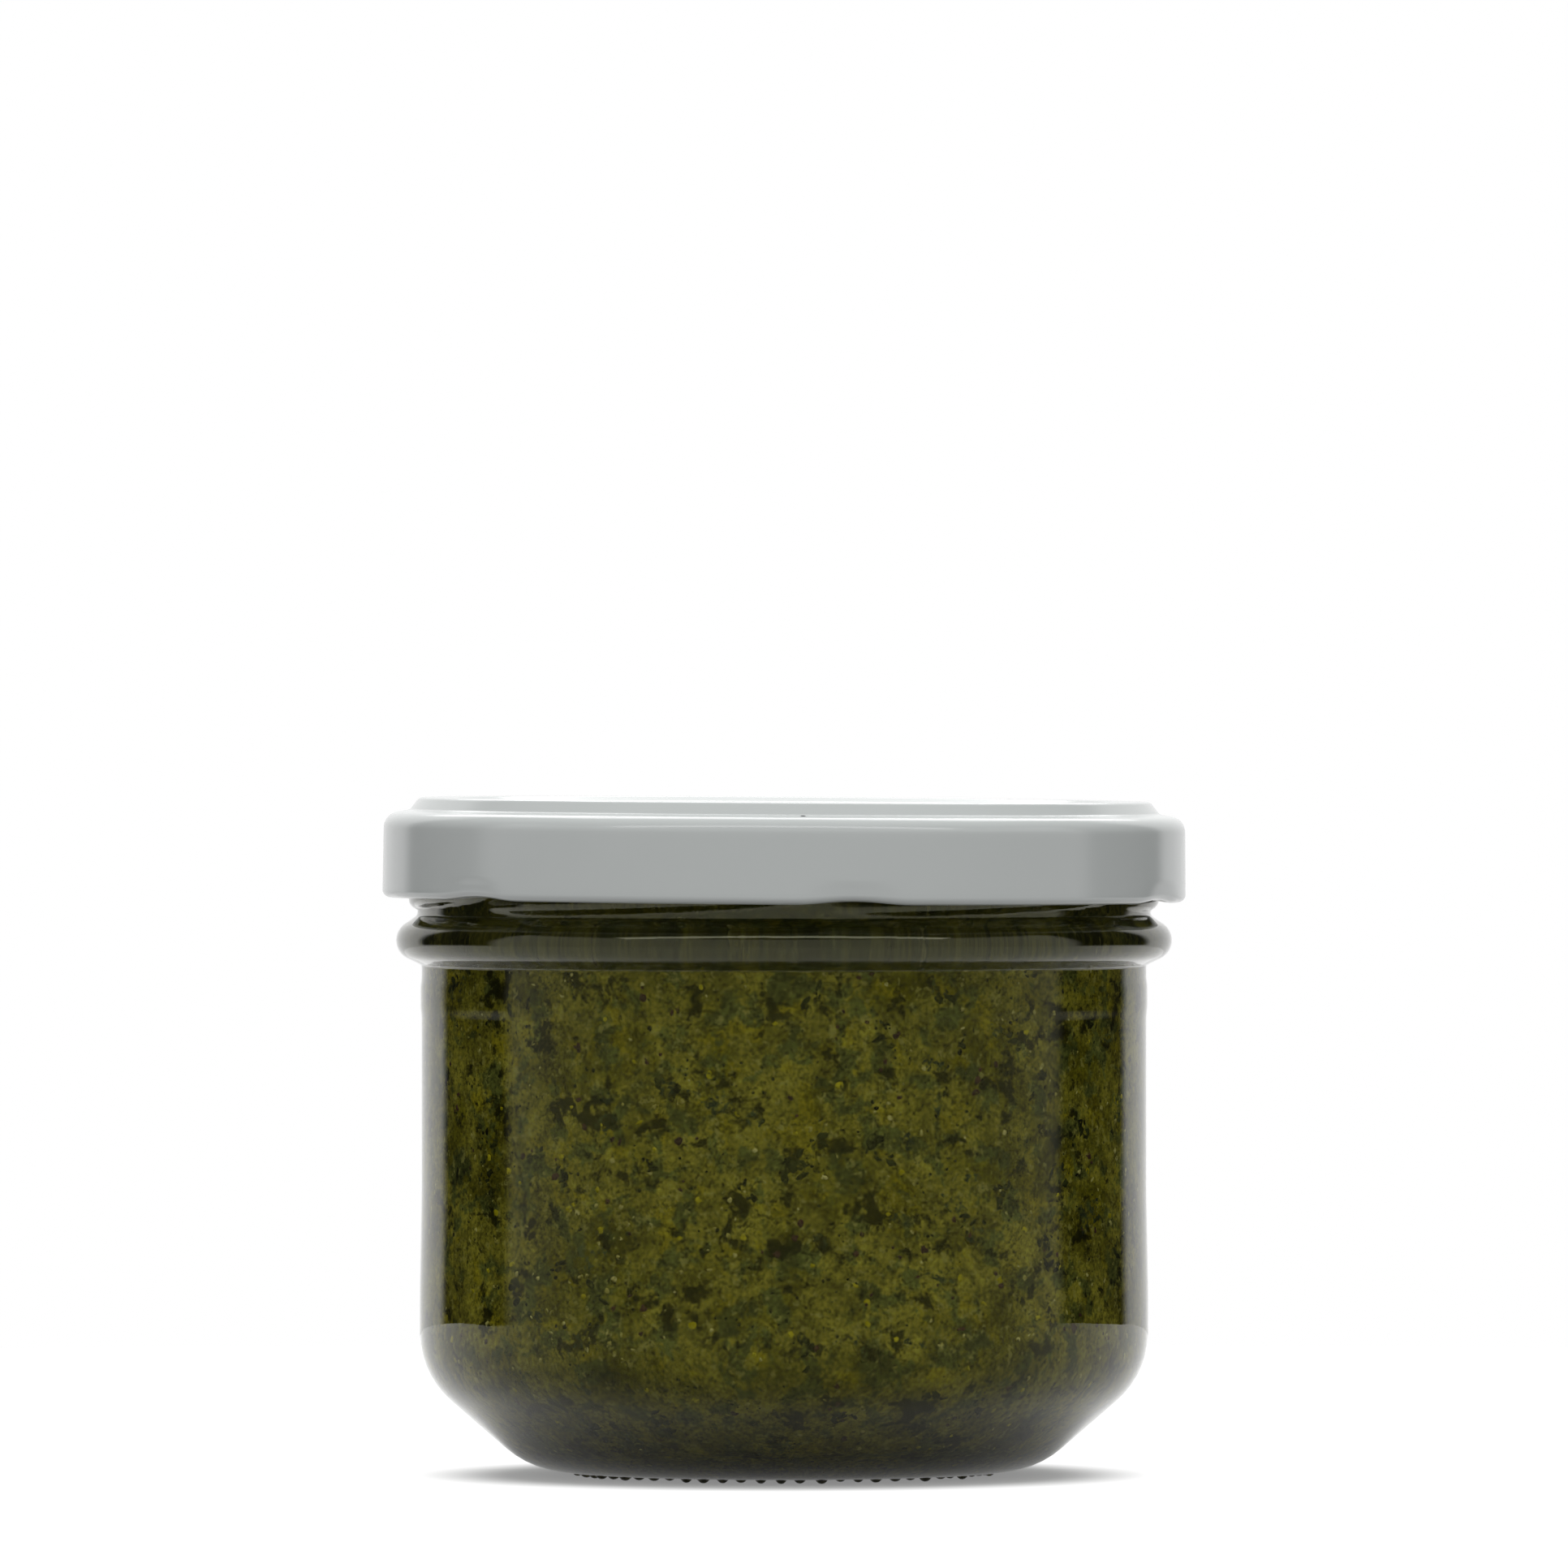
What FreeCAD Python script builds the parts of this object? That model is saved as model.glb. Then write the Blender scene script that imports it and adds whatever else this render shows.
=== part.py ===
import FreeCAD, Part

# A squat glass food jar, filled with green pesto and shut with a twist-off
# sheet-metal lid. Millimetres, +Z up, origin on the ground at the middle of
# the base. The front of the jar looks along -Y.
#
# Each piece is a PartDesign body. Its sections are sketched in the XZ plane,
# radius across and height up, and turned about the jar's axis.

import math
import os

import Sketcher

# Driving sizes: alias, value, meaning.
SIZES = [
    ("jar_height", 71.1, "rim of the glass above the ground"),
    ("body_radius", 38.45, "outside of the body at its waist"),
    ("wall", 2.5, "glass thickness of the side wall"),
    ("foot_swell", 0.2, "how much wider the body is just above its base"),
    ("swell_drop", 41.0, "where that widening starts, below the rim"),
    ("swell_run", 11.0, "height over which the body widens"),
    ("collar_proud", 0.13, "mould step: the band under the bead stands proud"),
    ("collar_top_drop", 19.0, "upper edge of that band, below the rim"),
    ("collar_foot_drop", 21.6, "lower edge of that band, below the rim"),
    ("step_run", 0.8, "height over which the band fades into the wall"),
    ("bead_proud", 2.7, "bead under the lid, proud of the body"),
    ("bead_drop", 14.35, "middle of the bead, below the rim"),
    ("bead_half", 1.9, "half the height of the bead's round face"),
    ("bead_round", 1.15, "how deep the bead's round face bulges"),
    ("bead_skirt", 0.75, "height of the ramp under the bead"),
    ("neck_proud", 0.45, "neck, proud of the body"),
    ("neck_drop", 11.7, "foot of the neck, below the rim"),
    ("lip_round", 1.1, "rounding of the rim"),
    ("neck_round", 0.6, "hollow rounding where the neck meets the bead"),
    ("thread_starts", 6, "number of separate threads"),
    ("thread_proud", 0.95, "thread crest, proud of the neck"),
    ("thread_round", 1.1, "radius of the thread's round section"),
    ("thread_drop", 9.85, "middle of each thread, below the rim"),
    ("thread_span", 66.0, "degrees that each thread runs round the neck"),
    ("thread_lead", 2.05, "degrees of slope of each thread"),
    ("thread_offset", 5.9, "thread centre off the axis, which fades its ends"),
    ("jar_turn", 7.4, "degrees that the jar is turned about its axis"),
    ("base_slope", 40.9, "degrees of slope of the base chamfer"),
    ("base_rise", 10.3, "height of the base chamfer"),
    ("base_round", 9.4, "rounding between wall and chamfer"),
    ("heel_round", 10.4, "rounding between chamfer and standing ring"),
    ("ring_width", 2.0, "width of the standing ring"),
    ("push_up", 1.8, "hollow of the underside above the ring"),
    ("push_run", 9.0, "width of the slope from the ring up into the hollow"),
    ("push_round", 30.0, "rounding at the top of that slope"),
    ("base_glass", 2.6, "glass thickness at the middle of the base"),
    ("chamfer_glass", 2.6, "glass thickness of the base chamfer"),
    ("inner_round", 6.5, "rounding inside, between wall and chamfer"),
    ("floor_round", 5.0, "rounding inside, between chamfer and floor"),
    ("studs", 66, "number of small studs under the ring"),
    ("stud_drop", 0.45, "how far the studs stand below the ring"),
    ("stud_round", 0.78, "radius of a stud"),
    ("fill_drop", 7.1, "level of the pesto, below the rim"),
    ("lid_height", 10.6, "lid from its curled edge to its top"),
    ("sheet", 0.25, "lid metal thickness"),
    ("shoulder_drop", 2.05, "outer corner of the lid's shoulder, below its top"),
    ("shoulder_round", 1.4, "rounding of that corner"),
    ("shoulder_rise", 0.75, "rise of the shoulder from there to the riser"),
    ("riser_inset", 2.75, "foot of the riser, inside the skirt"),
    ("riser_run", 1.0, "width of the riser"),
    ("riser_round", 0.7, "rounding at the top of the riser"),
    ("ledge_round", 0.5, "hollow rounding at the foot of the riser"),
    ("ring_inset", 7.5, "inner edge of the lid's top ring, inside the skirt"),
    ("panel_recess", 0.5, "panel below the top ring"),
    ("panel_run", 0.9, "width of the slope from the ring to the panel"),
    ("curl_round", 0.8, "outer radius of the curled edge"),
    ("curl_proud", 0.1, "how much the skirt widens down to its curl"),
    ("curl_turn", 280.0, "degrees that the edge is curled"),
    ("lugs", 6, "number of lugs in the lid's edge"),
    ("lug_span", 15.0, "degrees that each lug runs round the edge"),
    ("lug_reach", 2.2, "how far a lug reaches in from the skirt"),
    ("lug_thick", 1.3, "height of a lug"),
    ("lug_lift", 0.3, "how far the edge is raised at a lug"),
    ("lid_turn", -20.0, "degrees that the lid is turned about its axis"),
    ("lid_tilt", 0.38, "degrees that the lid leans down to the right"),
    ("seat_clearance", 0.05, "gap between the rim and the lid at its low side"),
    ("lug_clearance", 0.2, "gap between a lug and the thread crests"),
]

doc = FreeCAD.newDocument("PestoJar")
sheet = doc.addObject("Spreadsheet::Sheet", "Sizes")
for row, (alias, value, meaning) in enumerate(SIZES, start=1):
    sheet.set(f"A{row}", meaning)
    sheet.set(f"B{row}", str(value))
    sheet.setAlias(f"B{row}", alias)
doc.recompute()

# Sizes that follow from the driving ones, as expressions on the sheet.
RIM = "Sizes.jar_height"
BODY = "Sizes.body_radius"
FOOT = f"({BODY} + Sizes.foot_swell)"
COLLAR = f"({BODY} + Sizes.collar_proud)"
BEAD = f"({BODY} + Sizes.bead_proud)"
BEAD_EDGE = f"({BEAD} - Sizes.bead_round)"
BEAD_MIDDLE = f"({RIM} - Sizes.bead_drop)"
BEAD_LOW = f"({BEAD_MIDDLE} - Sizes.bead_half)"
BEAD_HIGH = f"({BEAD_MIDDLE} + Sizes.bead_half)"
NECK = f"({BODY} + Sizes.neck_proud)"
NECK_FOOT = f"({RIM} - Sizes.neck_drop)"
BORE = f"({BODY} - Sizes.wall)"
CREST = f"({NECK} + Sizes.thread_proud)"

RING = "Sizes.stud_drop"
CHAMFER_TOP = f"({RING} + Sizes.base_rise)"
CHAMFER_FOOT = f"({FOOT} - Sizes.base_rise / tan(Sizes.base_slope))"
RING_OUTER = f"({CHAMFER_FOOT} - Sizes.heel_round * tan(Sizes.base_slope / 2))"
RING_MIDDLE = f"({RING_OUTER} - Sizes.ring_width / 2)"
RING_INNER = f"({RING_OUTER} - Sizes.ring_width)"
UNDERSIDE = f"({RING} + Sizes.push_up)"
PUSH_EDGE = f"({RING_INNER} - Sizes.push_run)"
FLOOR = f"({UNDERSIDE} + Sizes.base_glass)"
# The inner chamfer runs parallel to the outer one, chamfer_glass further in.
INNER_LIFT = "(Sizes.chamfer_glass / cos(Sizes.base_slope))"
INNER_TOP = f"({CHAMFER_TOP} + {INNER_LIFT} - ({FOOT} - {BORE}) * tan(Sizes.base_slope))"
FLOOR_RADIUS = f"({BORE} - ({INNER_TOP} - {FLOOR}) / tan(Sizes.base_slope))"
FILL = f"({RIM} - Sizes.fill_drop)"

LUG_RADIUS = f"({CREST} + Sizes.lug_clearance)"
SKIRT = f"({LUG_RADIUS} + Sizes.lug_reach + Sizes.sheet)"
LID_TOP = "Sizes.lid_height"
SHOULDER = f"({LID_TOP} - Sizes.shoulder_drop)"
LEDGE = f"({SHOULDER} + Sizes.shoulder_rise)"
RISER_FOOT = f"({SKIRT} - Sizes.riser_inset)"
RISER_TOP = f"({RISER_FOOT} - Sizes.riser_run)"
TOP_RING_INNER = f"({SKIRT} - Sizes.ring_inset)"
PANEL_EDGE = f"({TOP_RING_INNER} - Sizes.panel_run)"
PANEL = f"({LID_TOP} - Sizes.panel_recess)"
EDGE = f"({SKIRT} + Sizes.curl_proud)"
CURL_CENTRE = f"({EDGE} - Sizes.curl_round)"
CURL_HEIGHT = "Sizes.curl_round"
# The lid rests on the rim at its low side, so its middle is this much higher.
SEAT = f"({RIM} + {NECK} * tan(Sizes.lid_tilt) + Sizes.seat_clearance)"
LID_BASE = f"({SEAT} + Sizes.sheet - {LID_TOP})"


def value_of(expression):
    """The present value of an expression on the sheet, as a plain number."""
    found = sheet.evalExpression(expression)
    return float(getattr(found, "Value", found))


def origin_feature(body, role):
    """A body's own origin plane or axis, by its role, such as XZ_Plane."""
    return next(part for part in body.Origin.OriginFeatures if part.Role == role)


def new_body(label):
    """An empty body with its label."""
    body = doc.addObject("PartDesign::Body", label)
    body.Label = label
    doc.recompute()
    return body


def new_sketch(body, name, role="XZ_Plane"):
    """An empty sketch on one of the body's own origin planes."""
    sketch = body.newObject("Sketcher::SketchObject", name)
    sketch.AttachmentSupport = [(origin_feature(body, role), "")]
    sketch.MapMode = "FlatFace"
    doc.recompute()
    return sketch


def pin_point(sketch, geometry, point, across, up):
    """Holds one point of a sketch at expressions for its radius and height."""
    if abs(value_of(across)) < 1e-9:
        sketch.addConstraint(Sketcher.Constraint("PointOnObject", geometry, point, -2))
    else:
        index = sketch.addConstraint(
            Sketcher.Constraint("DistanceX", -1, 1, geometry, point, value_of(across))
        )
        sketch.setExpression(f"Constraints[{index}]", across)
    if abs(value_of(up)) < 1e-9:
        sketch.addConstraint(Sketcher.Constraint("PointOnObject", geometry, point, -1))
    else:
        index = sketch.addConstraint(
            Sketcher.Constraint("DistanceY", -1, 1, geometry, point, value_of(up))
        )
        sketch.setExpression(f"Constraints[{index}]", up)


def draw_section(sketch, stations):
    """Draws a closed outline through the stations and holds each one.

    A station is (radius, height), and the stretch that ends there is straight,
    or (radius, height, via_radius, via_height), and it is an arc through that
    point in between.
    """
    places = [FreeCAD.Vector(value_of(s[0]), value_of(s[1]), 0) for s in stations]
    ends = []
    for number, station in enumerate(stations):
        start, stop = places[number - 1], places[number]
        if len(station) == 2:
            geometry = sketch.addGeometry(Part.LineSegment(start, stop), False)
        else:
            via = FreeCAD.Vector(value_of(station[2]), value_of(station[3]), 0)
            geometry = sketch.addGeometry(Part.Arc(start, via, stop), False)
        first_is_start = (sketch.getPoint(geometry, 1) - start).Length < 1e-6
        ends.append((geometry, 1, 2) if first_is_start else (geometry, 2, 1))
    for number, station in enumerate(stations):
        geometry, start_point, stop_point = ends[number]
        following, next_start, _ = ends[(number + 1) % len(ends)]
        sketch.addConstraint(
            Sketcher.Constraint("Coincident", geometry, stop_point, following, next_start)
        )
        pin_point(sketch, geometry, stop_point, station[0], station[1])
        if len(station) == 4:
            via = FreeCAD.Vector(value_of(station[2]), value_of(station[3]), 0)
            marker = sketch.addGeometry(Part.Point(via), True)
            pin_point(sketch, marker, 1, station[2], station[3])
            sketch.addConstraint(
                Sketcher.Constraint("PointOnObject", marker, 1, geometry)
            )
    doc.recompute()


def turn_section(body, name, kind, stations, span=None):
    """Turns an outline about the body's axis: all round, or span degrees."""
    sketch = new_sketch(body, f"{name}Section")
    draw_section(sketch, stations)
    return turn_sketch(body, name, kind, sketch, span)


def turn_sketch(body, name, kind, sketch, span=None):
    """A Revolution or Groove of a sketch about its own upright axis."""
    feature = body.newObject(f"PartDesign::{kind}", name)
    feature.Profile = sketch
    feature.ReferenceAxis = (sketch, ["V_Axis"])
    feature.Angle = 360.0
    if span is not None:
        feature.Midplane = True
        feature.setExpression("Angle", span)
    doc.recompute()
    return feature


def repeat_round(body, name, features, count):
    """Repeats features round the body's axis."""
    pattern = body.newObject("PartDesign::PolarPattern", name)
    pattern.Originals = features
    pattern.Axis = (origin_feature(body, "Z_Axis"), [""])
    pattern.Angle = 360.0
    pattern.setExpression("Occurrences", count)
    body.Tip = pattern
    doc.recompute()
    return pattern


def round_corner(body, name, corners, radius):
    """Rounds the ring-shaped edges that run through the given corners."""
    base = body.Tip
    wanted = [(value_of(across), value_of(up)) for across, up in corners]
    names = []
    for number, edge in enumerate(base.Shape.Edges, start=1):
        if edge.Degenerated or not isinstance(edge.Curve, Part.Circle):
            continue
        centre = edge.Curve.Center
        if math.hypot(centre.x, centre.y) > 1e-3:
            continue
        for across, up in wanted:
            if math.hypot(edge.Curve.Radius - across, centre.z - up) < 1e-3:
                names.append(f"Edge{number}")
    if len(names) != len(wanted):
        raise RuntimeError(f"{name}: found {len(names)} of {len(wanted)} edges")
    fillet = body.newObject("PartDesign::Fillet", name)
    fillet.Base = (base, names)
    fillet.setExpression("Radius", radius)
    doc.recompute()
    return fillet


def inner_stations():
    """The inside of the glass from the middle of its floor up to the bore."""
    return [("0", FLOOR), (FLOOR_RADIUS, FLOOR), (BORE, INNER_TOP)]


def glass_jar():
    """The blown glass: body, base, bead, neck, threads and studs."""
    body = new_body("glass_jar")
    ramp_foot = f"({BEAD_LOW} - Sizes.bead_skirt)"
    collar_top = f"({RIM} - Sizes.collar_top_drop)"
    collar_foot = f"({RIM} - Sizes.collar_foot_drop)"
    wall_top = f"({collar_foot} - Sizes.step_run)"
    swell_top = f"({RIM} - Sizes.swell_drop)"
    stations = inner_stations() + [
        (BORE, RIM),
        (NECK, RIM),
        (NECK, NECK_FOOT),
        (BEAD_EDGE, BEAD_HIGH),
        (BEAD_EDGE, BEAD_LOW, BEAD, BEAD_MIDDLE),
        (BODY, ramp_foot),
        (BODY, f"({collar_top} + Sizes.step_run / 2)"),
        (COLLAR, collar_top),
        (COLLAR, collar_foot),
        (BODY, wall_top),
        (BODY, swell_top),
        (FOOT, f"({swell_top} - Sizes.swell_run)"),
        (FOOT, CHAMFER_TOP),
        (CHAMFER_FOOT, RING),
        (RING_INNER, RING),
        (PUSH_EDGE, UNDERSIDE),
        ("0", UNDERSIDE),
    ]
    turn_section(body, "Glass", "Revolution", stations)
    round_corner(body, "BaseRound", [(FOOT, CHAMFER_TOP)], "Sizes.base_round")
    round_corner(body, "HeelRound", [(CHAMFER_FOOT, RING)], "Sizes.heel_round")
    round_corner(body, "PushRound", [(PUSH_EDGE, UNDERSIDE)], "Sizes.push_round")
    round_corner(body, "InnerRound", [(BORE, INNER_TOP)], "Sizes.inner_round")
    round_corner(body, "FloorRound", [(FLOOR_RADIUS, FLOOR)], "Sizes.floor_round")
    round_corner(body, "LipRound", [(BORE, RIM), (NECK, RIM)], "Sizes.lip_round")
    round_corner(body, "NeckRound", [(NECK, NECK_FOOT)], "Sizes.neck_round")
    add_threads(body)
    add_studs(body)
    body.Placement.Rotation = FreeCAD.Rotation(FreeCAD.Vector(0, 0, 1), 0)
    body.setExpression("Placement.Rotation.Angle", "Sizes.jar_turn")
    doc.recompute()
    return body


def add_threads(body):
    """Threads whose ends fade into the neck.

    Each is part of a slightly tilted ring. The ring is smaller than the neck
    and off its axis, so it stands proud only in the middle of its run.
    """
    ring_radius = f"({CREST} - Sizes.thread_round - Sizes.thread_offset)"
    half = "(Sizes.thread_span / 2 * 1 deg)"
    reach = f"({half} + asin(Sizes.thread_offset * sin({half}) / {ring_radius}))"
    sketch = new_sketch(body, "ThreadSection")
    lean = FreeCAD.Rotation(FreeCAD.Vector(1, 0, 0), value_of("Sizes.thread_lead"))
    sketch.AttachmentOffset = FreeCAD.Placement(FreeCAD.Vector(), lean)
    sketch.setExpression("AttachmentOffset.Base.x", "Sizes.thread_offset")
    sketch.setExpression("AttachmentOffset.Base.y", f"{RIM} - Sizes.thread_drop")
    sketch.setExpression("AttachmentOffset.Rotation.Angle", "Sizes.thread_lead")
    middle = FreeCAD.Vector(value_of(ring_radius), 0, 0)
    circle = sketch.addGeometry(
        Part.Circle(middle, FreeCAD.Vector(0, 0, 1), value_of("Sizes.thread_round")), False
    )
    index = sketch.addConstraint(
        Sketcher.Constraint("Radius", circle, value_of("Sizes.thread_round"))
    )
    sketch.setExpression(f"Constraints[{index}]", "Sizes.thread_round")
    pin_point(sketch, circle, 3, ring_radius, "0")
    thread = turn_sketch(body, "Thread", "Revolution", sketch, f"2 * {reach}")
    repeat_round(body, "Threads", [thread], "Sizes.thread_starts")


def add_studs(body):
    """The ring of small round studs that the jar stands on."""
    stud = body.newObject("PartDesign::AdditiveSphere", "Stud")
    # The sphere's poles lie sideways, up in the glass, clear of its cap.
    stud.Placement.Rotation = FreeCAD.Rotation(FreeCAD.Vector(0, 1, 0), 90)
    stud.setExpression("Radius", "Sizes.stud_round")
    stud.setExpression("Placement.Base.x", RING_MIDDLE)
    stud.setExpression("Placement.Base.z", "Sizes.stud_round")
    doc.recompute()
    repeat_round(body, "Studs", [stud], "Sizes.studs")


def pesto():
    """The filling, as wide as the bore and up to its level."""
    body = new_body("pesto")
    stations = inner_stations() + [(BORE, FILL), ("0", FILL)]
    turn_section(body, "Filling", "Revolution", stations)
    round_corner(body, "SideRound", [(BORE, INNER_TOP)], "Sizes.inner_round")
    round_corner(body, "FloorRound", [(FLOOR_RADIUS, FLOOR)], "Sizes.floor_round")
    return body


def offset_corner(across, up, slope_in, slope_out):
    """A corner moved down and in by the sheet's thickness.

    The slopes are the degrees of rise towards the axis of the two stretches
    that meet there. The moved corner keeps the sheet's thickness along both.
    """
    mean = f"(({slope_in} + {slope_out}) / 2)"
    reach = f"(Sizes.sheet / cos(({slope_out} - {slope_in}) / 2))"
    return f"({across} - {reach} * sin({mean}))", f"({up} - {reach} * cos({mean}))"


def lid():
    """The pressed lid: panel, shoulder, skirt, curled edge and lugs."""
    body = new_body("lid")
    shoulder = f"(atan(Sizes.shoulder_rise / Sizes.riser_inset))"
    riser = f"(atan((Sizes.shoulder_drop - Sizes.shoulder_rise) / Sizes.riser_run))"
    dip = "(-1 * atan(Sizes.panel_recess / Sizes.panel_run))"
    outer = [
        (SKIRT, SHOULDER),
        (RISER_FOOT, LEDGE),
        (RISER_TOP, LID_TOP),
        (TOP_RING_INNER, LID_TOP),
        (PANEL_EDGE, PANEL),
    ]
    slopes = ["90 deg", shoulder, riser, "0 deg", dip, "0 deg"]
    inner = [
        offset_corner(*corner, slopes[number], slopes[number + 1])
        for number, corner in enumerate(outer)
    ]
    stations = (
        [(EDGE, CURL_HEIGHT)]
        + outer
        + [("0", PANEL), ("0", f"({PANEL} - Sizes.sheet)")]
        + inner[::-1]
        + [(f"({EDGE} - Sizes.sheet)", CURL_HEIGHT)]
    )
    turn_section(body, "Shell", "Revolution", stations)
    inner_rounding = "(Sizes.shoulder_round - Sizes.sheet)"
    round_corner(body, "ShoulderRound", [outer[0]], "Sizes.shoulder_round")
    round_corner(body, "ShoulderInside", [inner[0]], inner_rounding)
    round_corner(body, "LedgeRound", [outer[1]], "Sizes.ledge_round")
    round_corner(body, "LedgeInside", [inner[1]], "(Sizes.ledge_round + Sizes.sheet)")
    round_corner(body, "RiserRound", [outer[2]], "Sizes.riser_round")
    round_corner(body, "RiserInside", [inner[2]], "(Sizes.riser_round - Sizes.sheet)")
    add_curl(body)
    add_lugs(body)
    place_lid(body)
    return body


def add_curl(body):
    """The edge of the skirt, curled inwards into an open roll."""
    inside = "(Sizes.curl_round - Sizes.sheet)"

    def on_curl(radius, turn):
        """A point of the roll, turn degrees on from the skirt."""
        return (
            f"({CURL_CENTRE} + {radius} * cos({turn}))",
            f"({CURL_HEIGHT} - {radius} * sin({turn}))",
        )

    full, half = "Sizes.curl_turn", "(Sizes.curl_turn / 2)"
    stations = [
        on_curl("Sizes.curl_round", "0"),
        on_curl("Sizes.curl_round", full) + on_curl("Sizes.curl_round", half),
        on_curl(inside, full),
        on_curl(inside, "0") + on_curl(inside, half),
    ]
    turn_section(body, "Curl", "Revolution", stations)


def add_lugs(body):
    """Lugs pressed inwards from the edge, which is a little higher there."""
    top = "(Sizes.lug_lift + Sizes.lug_thick)"
    root = f"({SKIRT} - Sizes.sheet / 2)"
    middle = "(Sizes.lug_lift + Sizes.lug_thick / 2)"
    nose = f"({LUG_RADIUS} + Sizes.lug_thick / 2)"
    lug_stations = [
        (root, "Sizes.lug_lift"),
        (root, top),
        (nose, top),
        (nose, "Sizes.lug_lift", LUG_RADIUS, middle),
    ]
    lug = turn_section(body, "Lug", "Revolution", lug_stations, "Sizes.lug_span")
    before = body.Shape.Volume
    past_skirt = f"({SKIRT} + Sizes.sheet)"
    past_curl = f"({SKIRT} - 2 * Sizes.curl_round - Sizes.sheet)"
    relief_stations = [
        (past_skirt, "0"),
        (past_skirt, "Sizes.lug_lift"),
        (past_curl, "Sizes.lug_lift"),
        (past_curl, "0"),
    ]
    relief = turn_section(body, "Relief", "Groove", relief_stations, "Sizes.lug_span")
    if not body.Shape.Volume < before:
        raise RuntimeError("the relief under the lugs cut nothing")
    repeat_round(body, "Lugs", [lug, relief], "Sizes.lugs")


def place_lid(body):
    """Seats the lid on the rim, turned to its place and leaning a little."""
    body.setExpression("Placement.Base.z", LID_BASE)
    body.setExpression("Placement.Rotation.Yaw", "Sizes.lid_turn")
    body.setExpression("Placement.Rotation.Pitch", "Sizes.lid_tilt * cos(Sizes.lid_turn)")
    body.setExpression("Placement.Rotation.Roll", "Sizes.lid_tilt * sin(Sizes.lid_turn)")
    doc.recompute()


def check(bodies):
    """Stops if any object failed or any piece isn't one sound solid."""
    for thing in doc.Objects:
        if "Invalid" in thing.State or "Error" in thing.State:
            raise RuntimeError(f"{thing.Name} failed: {thing.State}")
    for body in bodies:
        shape = body.Shape
        if shape.isNull() or not shape.isValid() or len(shape.Solids) != 1:
            raise RuntimeError(f"{body.Label} isn't one sound solid")


def write(bodies):
    """Writes each piece to a file named after it."""
    os.makedirs("parts", exist_ok=True)
    for body in bodies:
        body.Shape.exportStep(f"parts/{body.Label}.step")
        box = body.Shape.BoundBox
        print(
            f"{body.Label}: {body.Shape.Volume / 1000:.2f} ml,"
            f" {box.XLength:.2f} x {box.YLength:.2f} x {box.ZLength:.2f} mm,"
            f" z {box.ZMin:.2f} to {box.ZMax:.2f}"
        )


pieces = [glass_jar(), pesto(), lid()]
doc.recompute()
check(pieces)
write(pieces)
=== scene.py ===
"""A squat glass jar of green pesto with a twist-off lid, dressed around its CAD frame.

Sizes in the classes are millimetres. Meshes are built in millimetres and brought
to metres when they become pieces. +Z is up and the front looks along -Y.
"""

import bisect
import logging
import math
import random
from dataclasses import dataclass
from enum import Enum
from typing import Any, Callable, Iterator, Mapping, Sequence

import bmesh
import bpy
from mathutils import Matrix, Vector, noise


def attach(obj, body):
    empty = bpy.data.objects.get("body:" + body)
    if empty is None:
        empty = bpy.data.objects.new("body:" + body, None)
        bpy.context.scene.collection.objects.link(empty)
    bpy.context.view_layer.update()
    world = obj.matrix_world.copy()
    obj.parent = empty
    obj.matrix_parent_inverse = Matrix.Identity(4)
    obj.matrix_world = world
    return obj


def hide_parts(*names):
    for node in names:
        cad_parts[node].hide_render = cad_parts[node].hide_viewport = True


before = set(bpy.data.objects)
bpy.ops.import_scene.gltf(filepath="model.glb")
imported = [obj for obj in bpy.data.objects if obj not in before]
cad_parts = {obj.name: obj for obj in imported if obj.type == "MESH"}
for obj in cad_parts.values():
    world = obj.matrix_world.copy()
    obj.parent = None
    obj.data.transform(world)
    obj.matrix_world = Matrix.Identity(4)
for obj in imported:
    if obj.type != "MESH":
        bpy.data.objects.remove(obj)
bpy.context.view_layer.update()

MM = 0.001
LOG = logging.getLogger("pesto_jar")

NEAR = 1e-4
TINY = 1e-6
HALF_TURN = 180.0

Colour = tuple[float, float, float]


def grey(level: float) -> Colour:
    """A colour without a hue."""
    return (level, level, level)


class CadNode(Enum):
    """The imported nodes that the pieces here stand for."""

    GLASS = "glass_jar"
    LID = "lid"
    PESTO = "pesto"


class Slot(Enum):
    """The record's material slots."""

    GLASS = "clear_glass"
    LACQUER = "lid_lacquer"
    PESTO = "pesto_sauce"


# Shader graphs


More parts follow.
